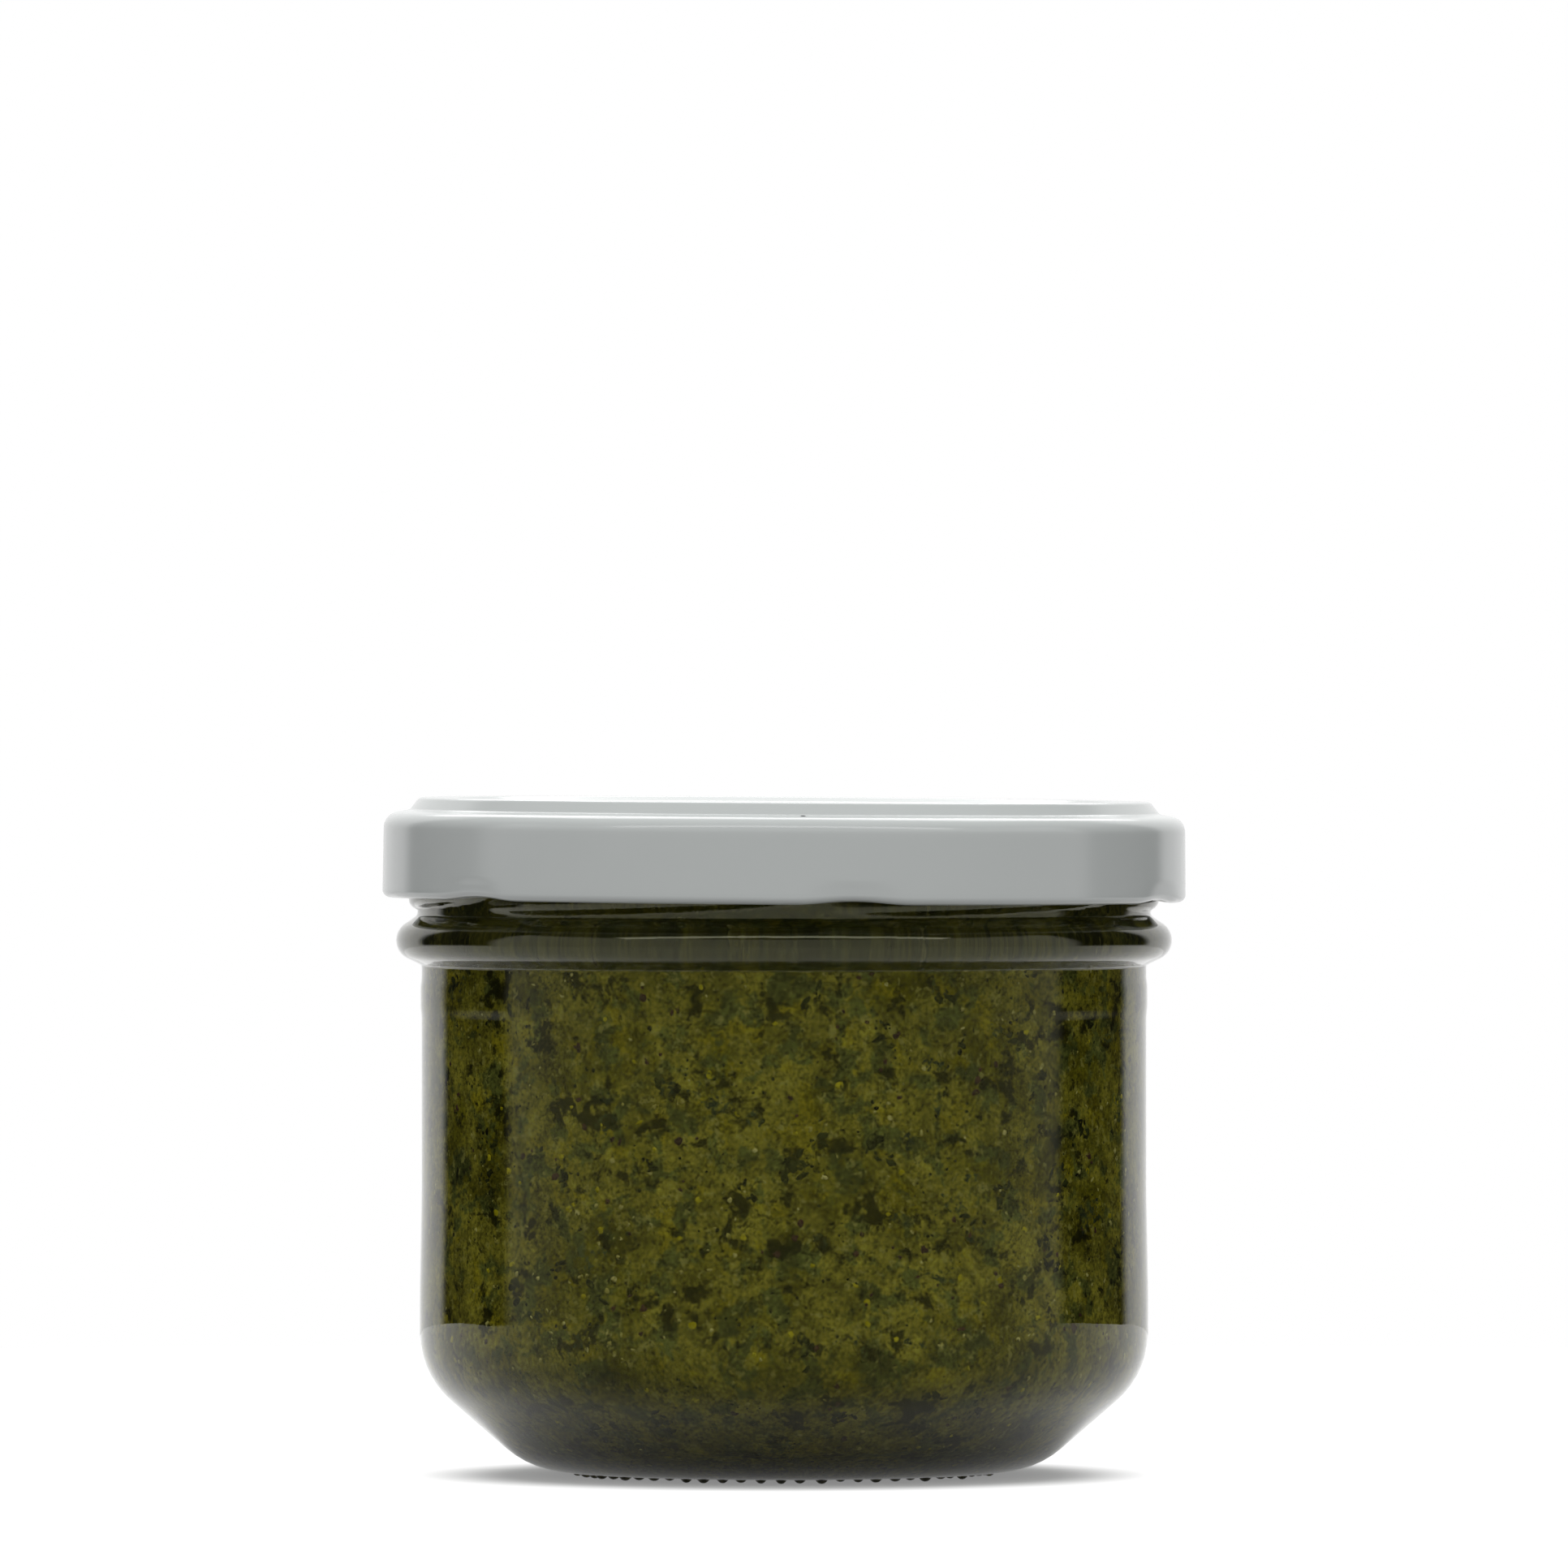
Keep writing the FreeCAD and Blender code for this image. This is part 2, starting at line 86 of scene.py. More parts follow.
class Signal:
    """A number that a node gives out; arithmetic on it adds Math nodes."""

    def __init__(self, graph: "Graph", socket: bpy.types.NodeSocket) -> None:
        """Keeps the graph and the output that carries the number."""
        self.graph = graph
        self.socket = socket

    def __add__(self, other: "Signal | float") -> "Signal":
        """The sum."""
        return self.graph.math("ADD", self, other)

    __radd__ = __add__

    def __mul__(self, other: "Signal | float") -> "Signal":
        """The product."""
        return self.graph.math("MULTIPLY", self, other)

    __rmul__ = __mul__

    def __sub__(self, other: "Signal | float") -> "Signal":
        """The difference."""
        return self.graph.math("SUBTRACT", self, other)

    def __rsub__(self, other: float) -> "Signal":
        """The difference from a plain number."""
        return self.graph.math("SUBTRACT", other, self)

    def __truediv__(self, other: "Signal | float") -> "Signal":
        """The quotient."""
        return self.graph.math("DIVIDE", self, other)

    def __rtruediv__(self, other: float) -> "Signal":
        """A plain number divided by this one."""
        return self.graph.math("DIVIDE", other, self)

    def __neg__(self) -> "Signal":
        """The negative."""
        return self.graph.math("MULTIPLY", self, -1.0)

    def rise(self, low: float, high: float) -> "Signal":
        """A smooth step from 0 at low to 1 at high, or down if low is the larger.

        Args:
            low: where the step starts.
            high: where the step ends.

        Returns:
            The stepped number.
        """
        if low > high:
            return 1.0 - self.rise(high, low)
        sockets = {"Value": self, "From Min": low, "From Max": high}
        node = self.graph.add("ShaderNodeMapRange", {"interpolation_type": "SMOOTHSTEP"}, sockets)
        return Signal(self.graph, node.outputs["Result"])


class Graph:
    """A node tree with short ways to add to it."""

    def __init__(self, tree: bpy.types.NodeTree) -> None:
        """Empties the tree that is to be filled."""
        self.tree = tree
        tree.nodes.clear()

    def add(
        self,
        kind: str,
        settings: Mapping[str, Any] | None = None,
        sockets: Mapping[str | int, Any] | None = None,
    ) -> bpy.types.Node:
        """Adds one node.

        Args:
            kind: the node's type.
            settings: its properties, set first; "stops" fills a colour ramp.
            sockets: values or links of its inputs, by name or number.

        Returns:
            The node.
        """
        node = self.tree.nodes.new(kind)
        for name, value in (settings or {}).items():
            if name == "stops":
                self._fill_ramp(node.color_ramp, value)
            else:
                setattr(node, name, value)
        for name, value in (sockets or {}).items():
            target = node.inputs[name]
            if isinstance(value, Signal):
                self.tree.links.new(value.socket, target)
            elif isinstance(value, bpy.types.NodeSocket):
                self.tree.links.new(value, target)
            elif isinstance(value, tuple) and len(value) == 3 and target.type == "RGBA":
                target.default_value = (*value, 1.0)
            else:
                target.default_value = value
        return node

    @staticmethod
    def _fill_ramp(ramp: bpy.types.ColorRamp, stops: Sequence[tuple[float, Colour]]) -> None:
        """Sets a ramp's stops.

        Args:
            ramp: the ramp.
            stops: places from 0 to 1 with their colours, in order.
        """
        elements = ramp.elements
        while len(elements) < len(stops):
            elements.new(1.0)
        for element, (place, colour) in zip(elements, stops):
            element.position = place
            element.color = (*colour, 1.0)

    def math(self, operation: str, *operands: "Signal | float") -> Signal:
        """Adds a Math node with its inputs in order, and gives its result."""
        node = self.add("ShaderNodeMath", {"operation": operation}, dict(enumerate(operands)))
        return Signal(self, node.outputs[0])

    def mix(self, share: "Signal | float", first: Any, second: Any) -> Any:
        """Blends two colours or colour sockets; share is how much of the second."""
        node = self.add("ShaderNodeMix", {"data_type": "RGBA"}, {0: share, 6: first, 7: second})
        return node.outputs[2]

    def scaled(self, colour: Any, strength: "Signal | float") -> Any:
        """A colour multiplied by a number."""
        sockets = {0: colour, "Scale": strength}
        return self.add("ShaderNodeVectorMath", {"operation": "SCALE"}, sockets).outputs[0]

    def place(self, pitch: float = 1.0, shift: Colour = (0.0, 0.0, 0.0)) -> Any:
        """The object coordinates in steps of pitch millimetres, moved by shift steps."""
        sockets = {
            "Vector": self.add("ShaderNodeTexCoord").outputs["Object"],
            "Location": shift,
            "Scale": (1.0 / (pitch * MM),) * 3,
        }
        return self.add("ShaderNodeMapping", {}, sockets).outputs[0]

    def grain(
        self,
        pitch: float,
        detail: float = 2.0,
        rough: float = 0.5,
        shift: float = 0.0,
        warp: float = 0.0,
    ) -> Signal:
        """Soft noise about 0.5; the numbers are those of a Pattern."""
        sockets = {
            "Vector": self.place(pitch, (shift, shift * 0.7, -shift)),
            "Scale": 1.0,
            "Detail": detail,
            "Roughness": rough,
            "Distortion": warp,
        }
        return Signal(self, self.add("ShaderNodeTexNoise", {}, sockets).outputs["Fac"])

    def bump(self, height: Signal, depth: float) -> Any:
        """A normal from a height, where 1 stands for depth millimetres."""
        sockets = {"Distance": depth * MM, "Height": height}
        return self.add("ShaderNodeBump", {}, sockets).outputs[0]

    def rays(self, *kinds: str) -> Signal:
        """1 for rays of any of the given kinds.

        Args:
            kinds: outputs of a Light Path node.

        Returns:
            1 or 0.
        """
        path = self.add("ShaderNodeLightPath")
        found = Signal(self, path.outputs[kinds[0]])
        for kind in kinds[1:]:
            found = self.math("MAXIMUM", found, Signal(self, path.outputs[kind]))
        return found

    def background_rays(self) -> Signal:
        """1 for rays that show the white background: seen, mirrored or through glass."""
        return self.rays("Is Camera Ray", "Is Glossy Ray", "Is Transmission Ray")

    def body(self, sockets: Mapping[str | int, Any]) -> Any:
        """Adds a Principled shader with these inputs and gives its socket."""
        return self.add("ShaderNodeBsdfPrincipled", {}, sockets).outputs[0]


# Finishes


class Finish:
    """What a surface looks like; each kind of finish has a name and a shader of its own."""

    name: str

    def shader(self, graph: Graph) -> Any:
        """The socket of the finish's shader, built in the graph."""
        raise NotImplementedError

    def material(self) -> bpy.types.Material:
        """The finish as a new material.

        Returns:
            The material.
        """
        material = bpy.data.materials.new(self.name)
        material.use_nodes = True
        graph = Graph(material.node_tree)
        graph.add("ShaderNodeOutputMaterial", {}, {"Surface": self.shader(graph)})
        return material


@dataclass(frozen=True)
class GlassFinish(Finish):
    """Clear moulded glass with a faint tint and the slight ripple of its mould.

    Light that falls through it on the filling goes straight on.
    """

    name: str = "moulded_glass"
    tint: Colour = (0.985, 0.995, 0.975)
    shade: Colour = (0.96, 0.97, 0.945)
    index: float = 1.52
    gloss_tint: Colour = (0.26, 0.25, 0.10)
    ripple_pitch: float = 8.0
    ripple: float = 0.035

    def shader(self, graph: Graph) -> Any:
        """Glass, which light crosses on its way to the filling.

        Args:
            graph: the material's graph.

        Returns:
            The shader's socket.
        """
        glass = graph.body(
            {
                "Base Color": self.tint,
                "Roughness": 0.0,
                "IOR": self.index,
                "Transmission Weight": 1.0,
                "Specular Tint": self.gloss_tint,
                "Normal": graph.bump(graph.grain(self.ripple_pitch, 1.0), self.ripple),
            }
        )
        straight = graph.add("ShaderNodeBsdfTransparent", {}, {"Color": self.shade}).outputs[0]
        lit_through = graph.rays("Is Shadow Ray", "Is Diffuse Ray")
        both = graph.add("ShaderNodeMixShader", {}, {0: lit_through, 1: glass, 2: straight})
        return both.outputs[0]


@dataclass(frozen=True)
class LacquerFinish(Finish):
    """Glossy off-white lacquer on sheet metal, with one speck of dirt."""

    name: str = "lid_lacquer"
    white: Colour = (0.510, 0.532, 0.525)
    shade: Colour = (0.500, 0.524, 0.516)
    roughness: float = 0.15
    index: float = 1.5
    cloud_pitch: float = 16.0
    cloud_band: tuple[float, float] = (0.35, 0.65)
    cloud_roughness: float = 0.015
    skin_pitch: float = 2.2
    skin_depth: float = 0.0008
    speck: Colour = (0.004, 0.004, 0.005)
    speck_place: tuple[float, float, float] = (2.0, -40.2, 70.23)
    speck_size: float = 0.45
    speck_fade: tuple[float, float] = (1.15, 0.75)
    speck_pitch: float = 0.35
    speck_frayed: float = 0.25
    speck_roughness: float = 0.5

    def shader(self, graph: Graph) -> Any:
        """Lacquer, a little clouded, with its speck.

        Args:
            graph: the material's graph.

        Returns:
            The shader's socket.
        """
        cloud = graph.grain(self.cloud_pitch, 3.0)
        coat = graph.mix(cloud.rise(*self.cloud_band), self.white, self.shade)
        sockets = {0: graph.place(), 1: self.speck_place}
        away = graph.add("ShaderNodeVectorMath", {"operation": "DISTANCE"}, sockets)
        frayed = graph.grain(self.speck_pitch, 1.0) * self.speck_frayed
        outer, inner = (self.speck_size * share for share in self.speck_fade)
        dirt = (Signal(graph, away.outputs["Value"]) + frayed).rise(outer, inner)
        dull = cloud * self.cloud_roughness + dirt * self.speck_roughness
        return graph.body(
            {
                "Base Color": graph.mix(dirt, coat, self.speck),
                "Roughness": dull + self.roughness,
                "IOR": self.index,
                "Normal": graph.bump(graph.grain(self.skin_pitch), self.skin_depth),
            }
        )


@dataclass(frozen=True)
class Pattern:
    """Noise whose lumps stand out between two of its values, low and high.

    pitch is the size of its lumps in millimetres, detail how many finer layers it has,
    rough how strong those are, shift sets it apart and warp swirls it.
    """

    pitch: float
    detail: float
    rough: float
    shift: float
    low: float
    high: float
    warp: float = 0.0

    def on(self, graph: Graph, spread: float = 0.0) -> Signal:
        """The pattern in a material, 0 off its lumps and 1 on them; spread makes them larger."""
        value = graph.grain(self.pitch, self.detail, self.rough, self.shift, self.warp)
        return value.rise(self.low - spread, self.high - spread)


@dataclass(frozen=True)
class Layer:
    """A colour that covers what is under it where its pattern stands out."""

    colour: Colour
    cover: float
    pattern: Pattern

    def over(self, graph: Graph, under: Any) -> Any:
        """Lays it over a colour's socket."""
        return graph.mix(self.pattern.on(graph) * self.cover, under, self.colour)


@dataclass(frozen=True)
class PasteTones:
    """The colours that the pesto's paste is mixed from, and the painted shade near its top."""

    olive: Colour = (0.094, 0.0855, 0.0090)
    deep: Colour = (0.047, 0.043, 0.0018)
    broad: Pattern = Pattern(9.0, 5.0, 0.60, 3.0, 0.34, 0.56, warp=0.6)
    gold: Layer = Layer(
        (0.106, 0.089, 0.0006), 0.5, Pattern(4.5, 4.0, 0.62, 31.0, 0.54, 0.62, warp=0.3)
    )
    leaf: Layer = Layer(
        (0.030, 0.037, 0.0085), 0.8, Pattern(3.4, 4.0, 0.62, 57.0, 0.51, 0.60, warp=0.2)
    )
    curd: Pattern = Pattern(1.8, 4.0, 0.60, 23.0, 0.34, 0.66)
    curd_light: float = 0.5
    fine: Pattern = Pattern(0.45, 3.0, 0.70, 91.0, 0.28, 0.72)
    fine_light: float = 0.95
    grain_dark: float = 0.28
    swirl: Pattern = Pattern(5.0, 4.0, 0.60, 43.0, 0.38, 0.60, warp=0.5)
    swirl_light: float = 0.5
    swirl_dark: float = 0.76
    pale: Layer = Layer((0.172, 0.164, 0.0380), 0.55, Pattern(1.1, 4.0, 0.66, 11.0, 0.56, 0.66))
    clump: Layer = Layer(
        (0.004, 0.004, 0.0006), 0.9, Pattern(3.4, 5.0, 0.66, 12.0, 0.55, 0.63, warp=0.2)
    )
    speck: Layer = Layer((0.004, 0.004, 0.0006), 0.6, Pattern(0.75, 4.0, 0.68, 5.0, 0.57, 0.64))
    # Painted shade: the paste is darkened towards this colour near the top of the filling, behind
    # the bead.
    top_shade: Colour = (0.014, 0.015, 0.0036)
    top_shade_cover: float = 0.7
    top_shade_foot: float = 54.6
    top_shade_full: float = 56.4
    top_shade_pitch: float = 3.0
    top_shade_waver: float = 1.2

    def paste(self, graph: Graph) -> Any:
        """The paste's colour at each place.

        Args:
            graph: the material's graph.

        Returns:
            The colour's socket.
        """
        colour = graph.mix(self.broad.on(graph), self.deep, self.olive)
        colour = self.leaf.over(graph, self.gold.over(graph, colour))
        curd = self.curd.on(graph) * self.curd_light
        grains = curd + self.fine.on(graph) * self.fine_light + self.grain_dark
        swirls = self.swirl.on(graph) * self.swirl_light + self.swirl_dark
        colour = graph.scaled(colour, grains * swirls)
        for layer in (self.pale, self.clump, self.speck):
            colour = layer.over(graph, colour)
        return colour

    def under_top_shade(self, graph: Graph, colour: Any) -> Any:
        """A colour darkened towards the top of the filling, as painted shade.

        Args:
            graph: the material's graph.
            colour: the colour's socket.

        Returns:
            The dulled colour's socket.
        """
        parts = graph.add("ShaderNodeSeparateXYZ", {}, {0: graph.place()})
        height = Signal(graph, parts.outputs["Z"]) + graph.grain(self.top_shade_pitch) * self.top_shade_waver
        share = height.rise(self.top_shade_foot, self.top_shade_full) * self.top_shade_cover
        return graph.mix(share, colour, self.top_shade)


@dataclass(frozen=True)
class PasteFinish(Finish):
    """Oily basil paste pressed against the glass, which leaves it no gloss of its own."""

    name: str = "pesto_paste"
    tones: PasteTones = PasteTones()
    roughness: float = 0.55
    index: float = 1.47
    lump_pitch: float = 0.9
    lump_depth: float = 0.12

    def shader(self, graph: Graph) -> Any:
        """Paste, with painted shade at its top."""
        lumps = graph.grain(self.lump_pitch, 3.0, 0.6)
        return graph.body(
            {
                "Base Color": self.tones.under_top_shade(graph, self.tones.paste(graph)),
                "Roughness": self.roughness,
                "IOR": self.index,
                "Specular IOR Level": 0.0,
                "Normal": graph.bump(lumps, self.lump_depth),
            }
        )


@dataclass(frozen=True)
class BitFinish(Finish):
    """A kind of bit in the paste: two colours of its own, smeared with paste in places."""

    name: str
    colour: Colour
    second: Colour
    smear: float
    mottle: Pattern = Pattern(2.4, 4.0, 0.7, 17.0, 0.38, 0.62)
    smears: Pattern = Pattern(0.7, 4.0, 0.7, 71.0, 0.78, 0.90)
    roughness: float = 0.5
    skin_pitch: float = 0.4
    skin_depth: float = 0.05
    tones: PasteTones = PasteTones()

    def shader(self, graph: Graph) -> Any:
        """The bit's own colours, with paste smeared over them.

        Args:
            graph: the material's graph.

        Returns:
            The shader's socket.
        """
        own = graph.mix(self.mottle.on(graph), self.colour, self.second)
        colour = graph.mix(self.smears.on(graph, self.smear), own, self.tones.paste(graph))
        return graph.body(
            {
                # The painted shade near the top of the filling darkens the bits too.
                "Base Color": self.tones.under_top_shade(graph, colour),
                "Roughness": self.roughness,
                "Specular IOR Level": 0.0,
                "Normal": graph.bump(graph.grain(self.skin_pitch), self.skin_depth),
            }
        )


@dataclass(frozen=True)
class SweepFinish(Finish):
    """A matt white floor that also glows, where the background is seen.

    Under the object the glow fades to a painted shadow, between the two distances
    of the painted shadow's reach from the middle, in millimetres.
    """

    name: str = "white_sweep"
    white: Colour = grey(0.30)
    glow: float = 0.84
    painted_shadow_glow: float = 0.24
    painted_shadow_reach: tuple[float, float] = (28.5, 42.0)

    def shader(self, graph: Graph) -> Any:
        """Matt white with the glow added.

        Args:
            graph: the material's graph.

        Returns:
            The shader's socket.
        """
        matt = graph.add("ShaderNodeBsdfDiffuse", {}, {"Color": self.white})
        # Painted shadow: the glow is dimmed near the middle, under the object, on top of its real
        # shadow.
        away = graph.add("ShaderNodeVectorMath", {"operation": "LENGTH"}, {0: graph.place()})
        clear = Signal(graph, away.outputs["Value"]).rise(*self.painted_shadow_reach)
        level = clear * (self.glow - self.painted_shadow_glow) + self.painted_shadow_glow
        seen = graph.background_rays() * level
        glow = graph.add("ShaderNodeEmission", {}, {"Color": grey(1.0), "Strength": seen})
        both = graph.add("ShaderNodeAddShader", {}, {0: matt.outputs[0], 1: glow.outputs[0]})
        return both.outputs[0]


# Turned shapes


@dataclass(frozen=True)
class Station:
    """A point of a turned outline.

    rounding is the radius of the corner there, and pitch the longest step on the
    straight stretch that ends there.
    """

    radius: float
    height: float
    rounding: float = 0.0
    pitch: float = 4.0


def rounded_line(stations: Sequence[Station], turn_step: float = 8.0) -> list[Vector]:
    """The points of an outline, with its corners rounded and its stretches divided.

    Args:
        stations: the outline's corners in order.
        turn_step: degrees that a rounded corner turns in one step.

    Returns:
        Points of radius and height.
    """
    points: list[Vector] = [Vector((stations[0].radius, stations[0].height))]
    for number, station in enumerate(stations[1:], start=1):
        corner = Vector((station.radius, station.height))
        arc = [corner]
        if station.rounding and number < len(stations) - 1:
            before, after = stations[number - 1], stations[number + 1]
            back = (Vector((before.radius, before.height)) - corner).normalized()
            ahead = (Vector((after.radius, after.height)) - corner).normalized()
            turn = math.pi - back.angle(ahead)
            if turn > NEAR:
                middle = (back + ahead).normalized()
                centre = corner + middle * station.rounding / math.cos(turn / 2)
                spoke = corner + back * station.rounding * math.tan(turn / 2) - centre
                sense = -1.0 if back.x * ahead.y - back.y * ahead.x > 0 else 1.0
                steps = max(2, math.ceil(math.degrees(turn) / turn_step))
                arc = [
                    centre + Matrix.Rotation(sense * turn * step / steps, 2) @ spoke
                    for step in range(steps + 1)
                ]
        start, reach = points[-1], (arc[0] - points[-1]).length
        steps = max(1, math.ceil(reach / station.pitch))
        points += [start.lerp(arc[0], step / steps) for step in range(1, steps)]
        points += [point for point in arc if (point - points[-1]).length > TINY]
    return points


def turned(points: Sequence[Vector], columns: int) -> bmesh.types.BMesh:
    """Turns an outline all round the upright axis.

    Args:
        points: radius and height of each point, with both ends on the axis.
        columns: number of divisions round the axis.

    Returns:
        The closed shell, with its faces outwards.
    """
    shell = bmesh.new()
    line = [shell.verts.new((point.x, 0.0, point.y)) for point in points]
    for first, second in zip(line, line[1:]):
        shell.edges.new((first, second))
    bmesh.ops.spin(
        shell,
        geom=shell.verts[:] + shell.edges[:],
        cent=(0.0, 0.0, 0.0),
        axis=(0.0, 0.0, 1.0),
        angle=math.tau,
        steps=columns,
        use_merge=True,
        use_duplicate=False,
    )
    bmesh.ops.remove_doubles(shell, verts=shell.verts[:], dist=NEAR)
    bmesh.ops.recalc_face_normals(shell, faces=shell.faces[:])
    return shell


def reshape(
    shell: bmesh.types.BMesh, rule: Callable[[float, float, float], tuple[float, float]]
) -> None:
    """Moves the points of a turned shell out, in, up or down.

    Args:
        shell: the shell.
        rule: from radius, azimuth in degrees and height to the new radius and height.
    """
    for vertex in shell.verts:
        radius = math.hypot(vertex.co.x, vertex.co.y)
        if radius < TINY:
            continue
        azimuth = math.degrees(math.atan2(vertex.co.y, vertex.co.x))
        new_radius, new_height = rule(radius, azimuth, vertex.co.z)
        scale = new_radius / radius
        vertex.co = Vector((vertex.co.x * scale, vertex.co.y * scale, new_height))


def fold(azimuth: float, count: int) -> float:
    """Degrees from the nearest of count places set evenly from azimuth 0."""
    step = 360.0 / count
    return (azimuth + step / 2) % step - step / 2


def make_piece(
    shell: bmesh.types.BMesh,
    name: str,
    finish: Finish,
    node: CadNode,
    slot: Slot,
    place: Matrix | None = None,
) -> bpy.types.Object:
    """Makes a piece of a shell that was built in millimetres.

    Args:
        shell: the mesh, which is used up.
        name: the piece's name.
        finish: what it looks like.
        node: the CAD node that it stands for.
        slot: the record's slot for the piece; not used.
        place: where it goes, in millimetres.

    Returns:
        The piece.
    """
    to_metres = Matrix.Scale(MM, 4) @ (place or Matrix.Identity(4))
    bmesh.ops.transform(shell, matrix=to_metres, verts=shell.verts[:])
    mesh = bpy.data.meshes.new(name)
    shell.to_mesh(mesh)
    shell.free()
    mesh.shade_smooth()
    mesh.materials.append(finish.material())
    piece = bpy.data.objects.new(name, mesh)
    bpy.context.scene.collection.objects.link(piece)
    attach(piece, "root")
    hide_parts(node.value)
    return piece


# The jar


@dataclass(frozen=True)
class Bore:
    """The inside of the glass, which the filling touches."""

    radius: float = 35.95
    floor: float = 4.85
    slope: float = 40.9
    corner_height: float = 11.852
    side_rounding: float = 6.5
    floor_rounding: float = 5.0

    def stations(self, reach: float = 0.0) -> list[Station]:
        """The outline from the middle of the floor up to the bore.

        Args:
            reach: how far it is pushed out into the glass.

        Returns:
            Its stations.
        """
        slope = math.radians(self.slope)
        lift = reach * math.tan(slope) - reach / math.cos(slope)
        floor = self.floor - reach
        run = (self.corner_height - reach / math.cos(slope) - floor) / math.tan(slope)
        return [
            Station(0.0, floor),
            Station(self.radius - run, floor, self.floor_rounding + reach),
            Station(self.radius + reach, self.corner_height + lift, self.side_rounding + reach),
        ]


@dataclass(frozen=True)
class Stud:
    """A stud: how far it is off its even place, round and outwards, its radius and its foot."""

    along: float
    out: float
    size: float
    foot: float

    def height(self, along: float, out: float) -> float:
        """The height of its round face, which is infinite beside it.

        Args:
            along: how far round from the stud's even place.
            out: how far out from the middle of the ring.

        Returns:
            The height.
        """
        off = (along - self.along) ** 2 + (out - self.out) ** 2
        if off >= self.size**2:
            return math.inf
        return self.foot + self.size - math.sqrt(self.size**2 - off)


@dataclass(frozen=True)
class GlassJar:
    """The glass: body, base, bead, neck, threads and studs."""

    bore: Bore = Bore()
    finish: GlassFinish = GlassFinish()
    neck_finish: GlassFinish = GlassFinish("polished_glass", gloss_tint=(0.75, 0.75, 0.50))
    columns: int = 264
    rim: float = 71.1
    body: float = 38.45
    foot: float = 38.65
    collar: float = 38.56
    collar_heights: tuple[float, ...] = (52.7, 51.9, 49.8, 48.6)
    collar_rounds: tuple[float, ...] = (3.0, 2.5, 4.0, 4.0)
    swell_top: float = 30.1
    swell_foot: float = 19.1
    swell_round: float = 120.0
    bead: float = 41.15
    bead_middle: float = 56.75
    bead_half: float = 1.9
    bead_round: float = 1.15
    bead_skirt: float = 0.75
    bead_steps: int = 16
    neck: float = 38.9
    neck_slack: float = 0.02
    neck_foot: float = 59.4
    lip_round: float = 1.1
    neck_round: float = 0.6
    turn: float = 7.4
    thread_count: int = 6
    thread_proud: float = 0.95
    thread_round: float = 1.1
    thread_middle: float = 61.25
    thread_lead: float = 2.05
    thread_offset: float = 5.9
    chamfer_top: float = 10.75
    chamfer_foot: float = 26.76
    base_round: float = 9.4
    heel_round: float = 10.4
    ring: float = 0.45
    ring_outer: float = 22.88
    ring_inner: float = 20.88
    ring_round: float = 0.4
    ring_cuts: int = 3
    push_edge: float = 11.88
    underside: float = 2.25
    push_round: float = 30.0
    # How far the finer division and the studs reach in and out from the ring.
    cut_reach: tuple[float, float] = (0.35, 0.3)
    cut_top: float = 0.6
    stud_reach: tuple[float, float] = (0.5, 0.8)
    stud_count: int = 66
    stud_round: float = 0.78
    stud_sizes: tuple[float, float] = (0.78, 1.04)
    stud_along: float = 0.14
    stud_out: float = 0.16
    stud_feet: tuple[float, ...] = (0.0, 0.0, 0.04, 0.1, 0.18)
    stud_seed: int = 66
    seam_azimuths: tuple[float, float] = (-85.0, 95.0)
    seam_half: float = 0.45
    seam_proud: float = 0.06

    def outline(self) -> list[Station]:
        """The outline from the inner floor over the rim to the underside.

        Returns:
            Its stations.
        """
        stations = self.bore.stations()
        stations += [
            Station(self.bore.radius, self.rim, self.lip_round, 8.0),
            Station(self.neck, self.rim, self.lip_round),
            Station(self.neck, self.neck_foot, self.neck_round, 0.24),
        ]
        curve = (self.bead_half**2 + self.bead_round**2) / (2 * self.bead_round)
        reach = math.degrees(math.asin(self.bead_half / curve))
        for step in range(self.bead_steps + 1):
            turn = math.radians(reach * (1 - 2 * step / self.bead_steps))
            radius = self.bead - curve + curve * math.cos(turn)
            stations.append(Station(radius, self.bead_middle + curve * math.sin(turn), 0.0, 0.5))
        stations.append(Station(self.body, self.bead_foot(), 0.35, 0.4))
        band = zip(
            (self.body, self.collar, self.collar, self.body),
            self.collar_heights,
            self.collar_rounds,
        )
        stations += [Station(radius, height, rounding, 0.8) for radius, height, rounding in band]
        stations += [
            Station(self.body, self.swell_top, self.swell_round, 5.0),
            Station(self.foot, self.swell_foot, self.swell_round, 5.0),
            Station(self.foot, self.chamfer_top, self.base_round),
            Station(self.chamfer_foot, self.ring, self.heel_round, 1.5),
            Station(self.ring_inner, self.ring, self.ring_round, 0.14),
            Station(self.push_edge, self.underside, self.push_round, 1.2),
            Station(0.0, self.underside),
        ]
        return stations

    def bead_foot(self) -> float:
        """The height at which the ramp under the bead meets the body."""
        return self.bead_middle - self.bead_half - self.bead_skirt

    def thread_bulge(self, azimuth: float, height: float) -> float:
        """How far the thread stands out of the neck.

        Args:
            azimuth: degrees about the jar's axis.
            height: height on the neck.

        Returns:
            The bulge, 0 off the thread.
        """
        away = math.radians(fold(azimuth - self.turn, self.thread_count))
        ring = self.neck + self.thread_proud - self.thread_offset
        side = self.thread_offset * math.sin(away)
        crest = self.thread_offset * math.cos(away) + math.sqrt(ring**2 - side**2)
        slope = math.tan(math.radians(self.thread_lead))
        middle = self.thread_middle + slope * crest * math.sin(away)
        drop = self.thread_round**2 - (height - middle) ** 2
        if drop <= 0.0:
            return 0.0
        return max(0.0, crest - self.thread_round + math.sqrt(drop) - self.neck)

    def shell(self) -> bmesh.types.BMesh:
        """The glass as a closed shell.

        Returns:
            The shell, in millimetres.
        """
        shell = turned(rounded_line(self.outline()), self.columns)
        self._divide_ring(shell)
        studs = self._studs()
        outer_neck = self.neck - self.neck_slack

